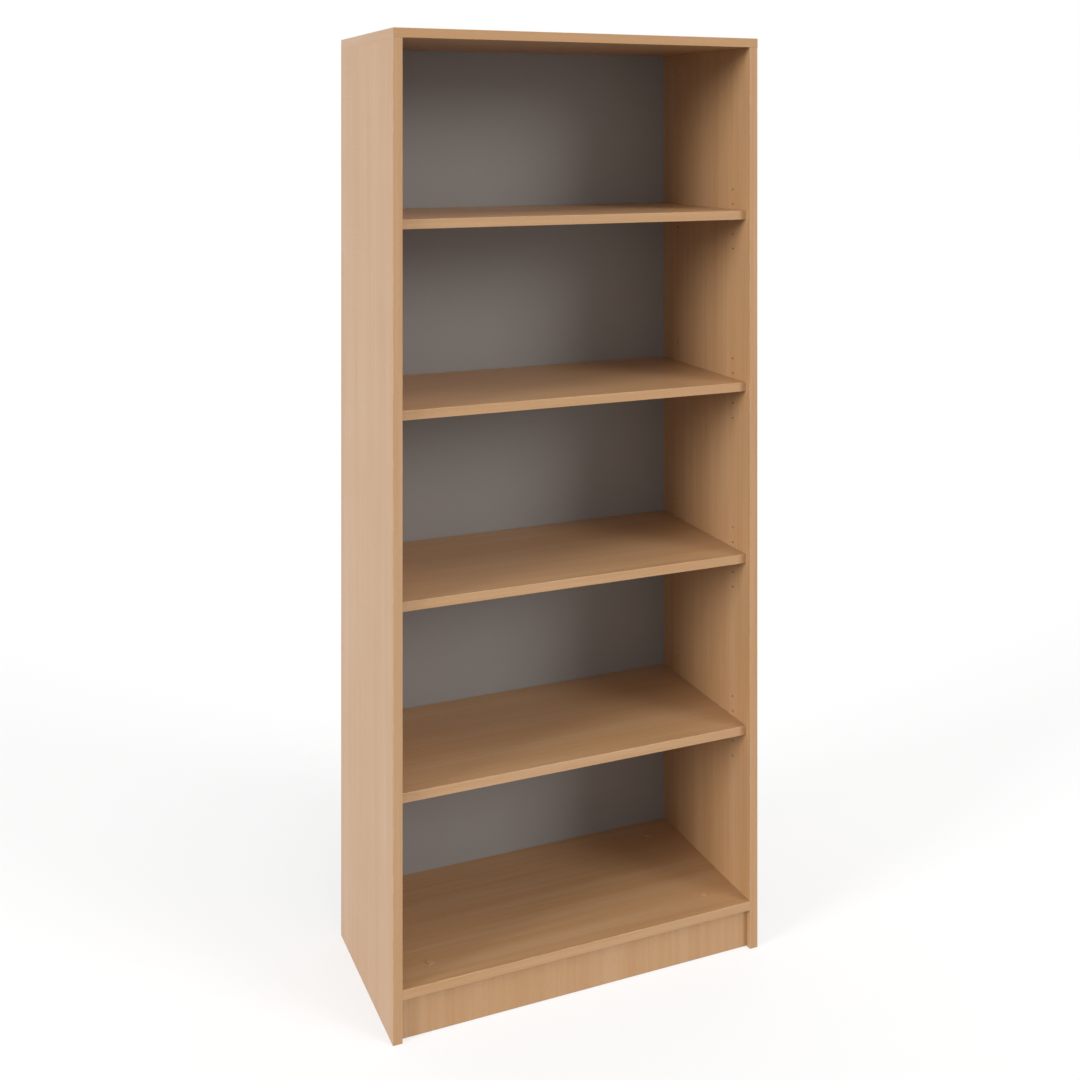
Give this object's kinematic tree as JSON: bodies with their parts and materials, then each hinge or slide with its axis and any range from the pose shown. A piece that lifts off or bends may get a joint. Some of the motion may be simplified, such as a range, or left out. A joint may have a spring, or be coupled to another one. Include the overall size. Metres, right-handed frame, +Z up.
{
  "type": "archive shelving unit",
  "caption": "Tall open shelving unit of beech-faced boards with loose shelves on steel pins, a thin grey back panel and a recessed plinth that hides screw levellers.",
  "frame": {"origin": "on the floor under the middle of the unit", "axes": "+Z up, +X to the right seen from the front, the open front faces -Y"},
  "size_m": [0.8, 0.384, 1.92],
  "materials": {
    "beech_board": "chipboard faced with satin beech-pattern melamine",
    "beech_edge_band": "beech-pattern plastic edge band, satin",
    "grey_hardboard": "hardboard, lacquered grey inside, raw brown outside",
    "zinc_plated_steel": "bright zinc plating",
    "zinc_casting": "bare die casting",
    "dowel_wood": "fluted beech",
    "beech_cap_plastic": "moulded, beech coloured",
    "black_plastic": "moulded, fine texture"
  },
  "bodies": {
    "carcass": {"access_hole_plugs": "beech_cap_plastic", "back_panel": "grey_hardboard", "back_panel_screws": "zinc_plated_steel", "bottom_edge_band": "beech_edge_band", "bottom_panel": "beech_board", "cam_bolts_bottom": "zinc_plated_steel", "cam_bolts_plinths": "zinc_plated_steel", "cam_bolts_top": "zinc_plated_steel", "cam_cover_caps": "beech_cap_plastic", "cam_locks_bottom": "zinc_casting", "cam_locks_plinths": "zinc_casting", "cam_locks_top": "zinc_casting", "dowels_bottom": "dowel_wood", "dowels_plinths": "dowel_wood", "dowels_top": "dowel_wood", "leveller_housing_front_left": "black_plastic", "leveller_housing_front_right": "black_plastic", "leveller_housing_rear_left": "black_plastic", "leveller_housing_rear_right": "black_plastic", "leveller_housing_screws": "zinc_plated_steel", "plinth_front": "beech_board", "plinth_rear": "beech_board", "shelf_pins_1": "zinc_plated_steel", "shelf_pins_2": "zinc_plated_steel", "shelf_pins_3": "zinc_plated_steel", "shelf_pins_4": "zinc_plated_steel", "side_edge_band_left": "beech_edge_band", "side_edge_band_right": "beech_edge_band", "side_panel_left": "beech_board", "side_panel_right": "beech_board", "top_edge_bands": "beech_edge_band", "top_panel": "beech_board"},
    "shelf_1": {"shelf_1": "beech_board", "shelf_edge_band_1": "beech_edge_band"},
    "shelf_2": {"shelf_2": "beech_board", "shelf_edge_band_2": "beech_edge_band"},
    "shelf_3": {"shelf_3": "beech_board", "shelf_edge_band_3": "beech_edge_band"},
    "shelf_4": {"shelf_4": "beech_board", "shelf_edge_band_4": "beech_edge_band"},
    "leveller_screw_front_left": {"leveller_screw_front_left": "zinc_plated_steel"},
    "leveller_foot_front_left": {"leveller_foot_front_left": "black_plastic"},
    "leveller_screw_front_right": {"leveller_screw_front_right": "zinc_plated_steel"},
    "leveller_foot_front_right": {"leveller_foot_front_right": "black_plastic"},
    "leveller_screw_rear_left": {"leveller_screw_rear_left": "zinc_plated_steel"},
    "leveller_foot_rear_left": {"leveller_foot_rear_left": "black_plastic"},
    "leveller_screw_rear_right": {"leveller_screw_rear_right": "zinc_plated_steel"},
    "leveller_foot_rear_right": {"leveller_foot_rear_right": "black_plastic"}
  },
  "joints": [
    {"name": "shelf_1_draw", "type": "slide", "parent": "carcass", "child": "shelf_1", "axis": [0, -1, 0], "range_m": [0, 0.385]},
    {"name": "shelf_2_draw", "type": "slide", "parent": "carcass", "child": "shelf_2", "axis": [0, -1, 0], "range_m": [0, 0.385]},
    {"name": "shelf_3_draw", "type": "slide", "parent": "carcass", "child": "shelf_3", "axis": [0, -1, 0], "range_m": [0, 0.385]},
    {"name": "shelf_4_draw", "type": "slide", "parent": "carcass", "child": "shelf_4", "axis": [0, -1, 0], "range_m": [0, 0.385]},
    {"name": "leveller_front_left_turn", "type": "hinge", "parent": "carcass", "child": "leveller_screw_front_left", "pos_m": [-0.306, -0.128, 0.081], "axis": [0, 0, 1], "range_deg": [0, 2160]},
    {"name": "leveller_front_left_drop", "type": "slide", "parent": "carcass", "child": "leveller_foot_front_left", "axis": [0, 0, -1], "range_m": [0, 0.015]},
    {"name": "leveller_front_right_turn", "type": "hinge", "parent": "carcass", "child": "leveller_screw_front_right", "pos_m": [0.306, -0.128, 0.081], "axis": [0, 0, 1], "range_deg": [0, 2160]},
    {"name": "leveller_front_right_drop", "type": "slide", "parent": "carcass", "child": "leveller_foot_front_right", "axis": [0, 0, -1], "range_m": [0, 0.015]},
    {"name": "leveller_rear_left_turn", "type": "hinge", "parent": "carcass", "child": "leveller_screw_rear_left", "pos_m": [-0.306, 0.137, 0.081], "axis": [0, 0, 1], "range_deg": [0, 2160]},
    {"name": "leveller_rear_left_drop", "type": "slide", "parent": "carcass", "child": "leveller_foot_rear_left", "axis": [0, 0, -1], "range_m": [0, 0.015]},
    {"name": "leveller_rear_right_turn", "type": "hinge", "parent": "carcass", "child": "leveller_screw_rear_right", "pos_m": [0.306, 0.137, 0.081], "axis": [0, 0, 1], "range_deg": [0, 2160]},
    {"name": "leveller_rear_right_drop", "type": "slide", "parent": "carcass", "child": "leveller_foot_rear_right", "axis": [0, 0, -1], "range_m": [0, 0.015]}
  ],
  "couplings": [
    {"joint": "leveller_front_left_turn", "follows": "leveller_front_left_drop", "rad_per_m": 2513.3},
    {"joint": "leveller_front_right_turn", "follows": "leveller_front_right_drop", "rad_per_m": 2513.3},
    {"joint": "leveller_rear_left_turn", "follows": "leveller_rear_left_drop", "rad_per_m": 2513.3},
    {"joint": "leveller_rear_right_turn", "follows": "leveller_rear_right_drop", "rad_per_m": 2513.3}
  ]
}
